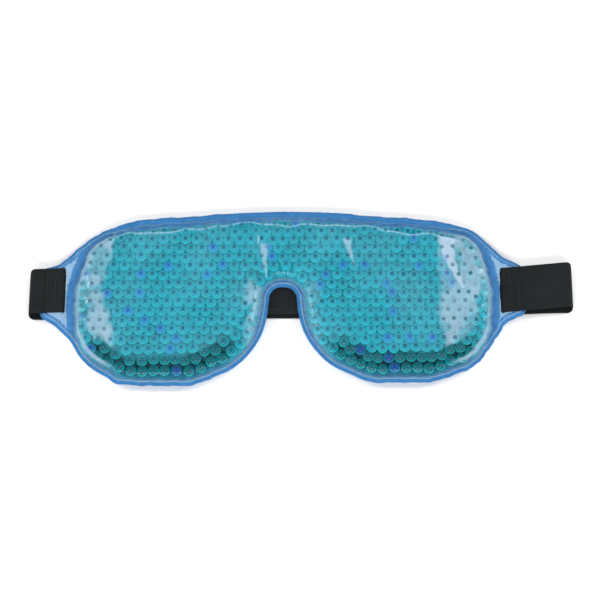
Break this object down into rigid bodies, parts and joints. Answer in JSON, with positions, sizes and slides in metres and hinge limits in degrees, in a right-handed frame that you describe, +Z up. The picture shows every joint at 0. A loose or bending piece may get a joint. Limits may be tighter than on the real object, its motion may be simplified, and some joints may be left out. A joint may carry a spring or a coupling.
{
  "type": "gel bead eye mask",
  "caption": "Soft eye mask: clear pouch of coloured gel beads on a plush backing, folding at the nose bridge, with an elastic strap through ear tabs and a hook-and-loop closure behind.",
  "frame": {"origin": "on the table plane under the middle of the mask, on its left-right middle plane, where the strap's closure rests", "axes": "+X across the face along the strap, +Y towards the forehead, +Z up out of the clear front"},
  "size_m": [0.2935, 0.0974, 0.0126],
  "materials": {
    "plush": "short pile",
    "clear_film": "glossy clear soft film",
    "teal_gel": "wet gel",
    "blue_gel": "wet gel",
    "strap": "woven elastic",
    "thread": "matt thread",
    "hooks": "hook tape",
    "loop_pile": "loop pile"
  },
  "bodies": {
    "left_lobe": {"left_plush_backing": "plush", "left_back_film": "clear_film", "left_front_film": "clear_film", "left_teal_beads": "teal_gel", "left_blue_beads": "blue_gel", "left_strap_anchor": "strap", "left_anchor_stitching": "thread"},
    "right_lobe": {"right_plush_backing": "plush", "right_back_film": "clear_film", "right_front_film": "clear_film", "right_teal_beads": "teal_gel", "right_blue_beads": "blue_gel", "right_strap_anchor": "strap", "right_anchor_stitching": "thread"},
    "left_turn": {"left_strap_turn": "strap"},
    "right_turn": {"right_strap_turn": "strap"},
    "left_band": {"left_strap_band": "strap", "loop_patch": "loop_pile", "loop_patch_stitching": "thread"},
    "right_band": {"right_strap_band": "strap"},
    "closure_tab": {"hook_tab": "strap", "hook_patch": "hooks", "hook_patch_stitching": "thread"}
  },
  "joints": [
    {"name": "bridge_fold", "type": "hinge", "parent": "left_lobe", "child": "right_lobe", "pos_m": [0, 0, 0.0045], "axis": [0, 1, 0], "range_deg": [0, 45]},
    {"name": "left_turn_bend", "type": "hinge", "parent": "left_lobe", "child": "left_turn", "pos_m": [-0.137, 0, 0.0038], "axis": [0, 1, 0], "range_deg": [0, 45]},
    {"name": "right_turn_bend", "type": "hinge", "parent": "right_lobe", "child": "right_turn", "pos_m": [0.1565, 0, 0.0038], "axis": [0, -1, 0], "range_deg": [0, 45]},
    {"name": "strap_opening", "type": "hinge", "parent": "right_turn", "child": "right_band", "pos_m": [0.1527, 0, 0], "axis": [0, -1, 0], "range_deg": [0, 120]},
    {"name": "left_strap_opening", "type": "hinge", "parent": "left_turn", "child": "left_band", "pos_m": [-0.1332, 0, 0], "axis": [0, 1, 0], "range_deg": [0, 60]},
    {"name": "tab_bend", "type": "hinge", "parent": "right_band", "child": "closure_tab", "pos_m": [0.0195, 0, 0.0031], "axis": [0, 1, 0], "range_deg": [0, 45]}
  ],
  "couplings": [
    {"joint": "left_turn_bend", "follows": "bridge_fold", "ratio": 1},
    {"joint": "right_turn_bend", "follows": "bridge_fold", "ratio": 1},
    {"joint": "tab_bend", "follows": "bridge_fold", "ratio": 1},
    {"joint": "left_strap_opening", "follows": "strap_opening", "ratio": 0.5}
  ]
}
